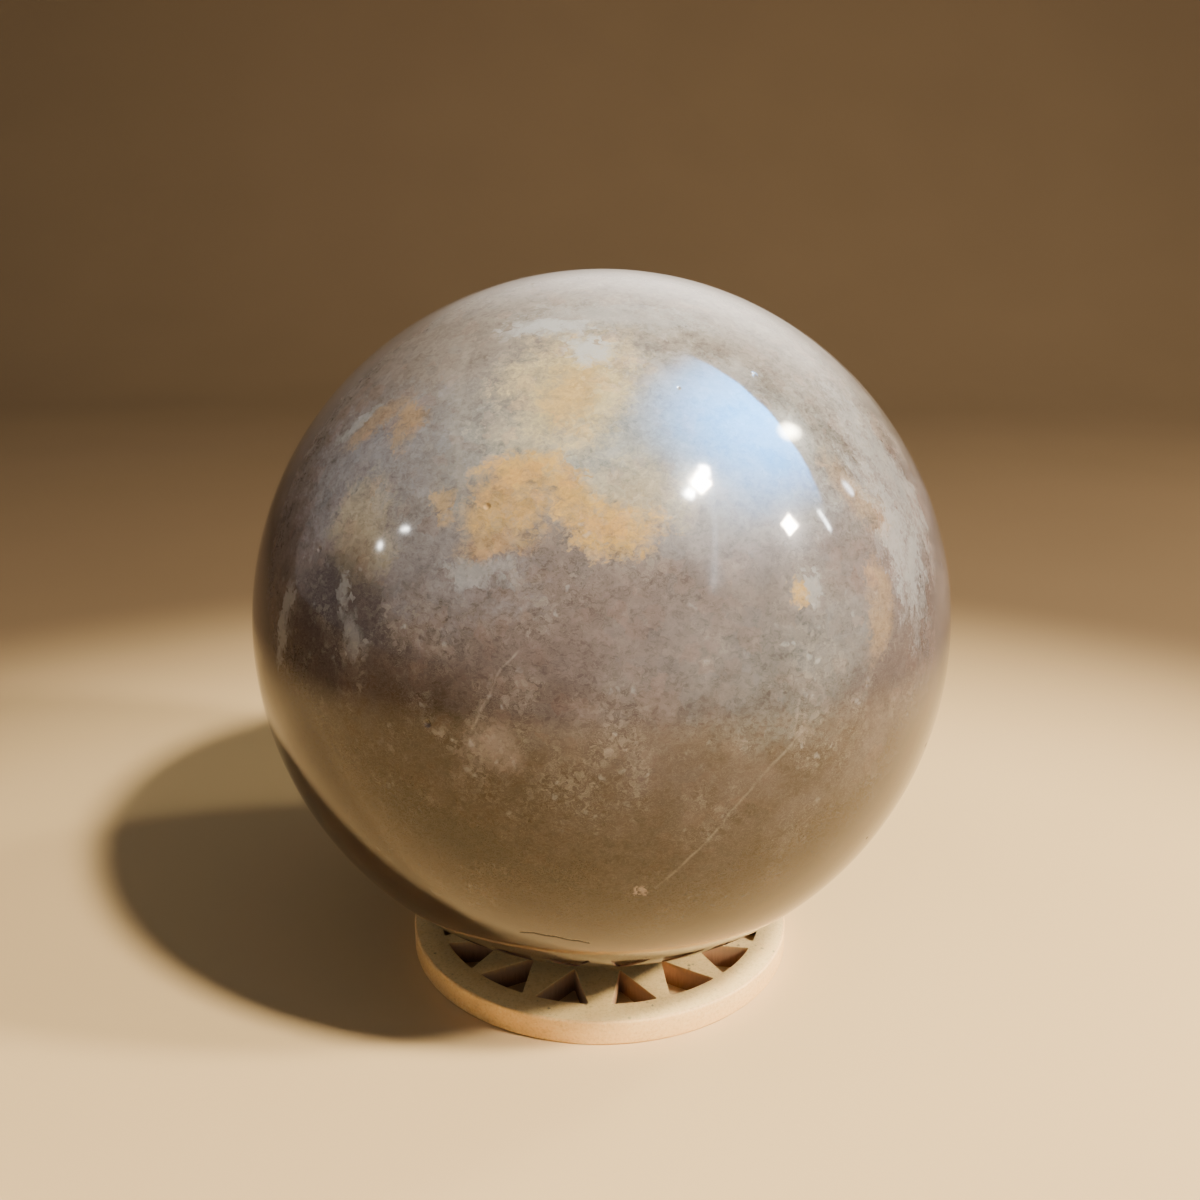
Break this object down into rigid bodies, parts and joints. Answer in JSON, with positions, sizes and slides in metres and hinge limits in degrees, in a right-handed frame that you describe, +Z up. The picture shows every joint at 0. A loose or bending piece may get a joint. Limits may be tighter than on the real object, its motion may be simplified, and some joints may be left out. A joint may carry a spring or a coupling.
{
  "type": "decorative stone sphere on a stand",
  "caption": "Polished clouded stone sphere resting in the round seat of a thin wooden disc stand pierced with a ring of triangular openings.",
  "frame": {"origin": "centre of the stand's underside, on the sphere's vertical axis", "axes": "+Z up along the axis through the stand and the sphere, -Y towards the front, where the stand's one wider bar is"},
  "size_m": [0.085, 0.085, 0.0876],
  "materials": {
    "polished_stone": "high polish, cloudy and slightly see-through",
    "light_wood": "bare fine board with browned cut edges"
  },
  "bodies": {
    "root": {"sphere": "polished_stone", "stand": "light_wood"}
  },
  "joints": []
}
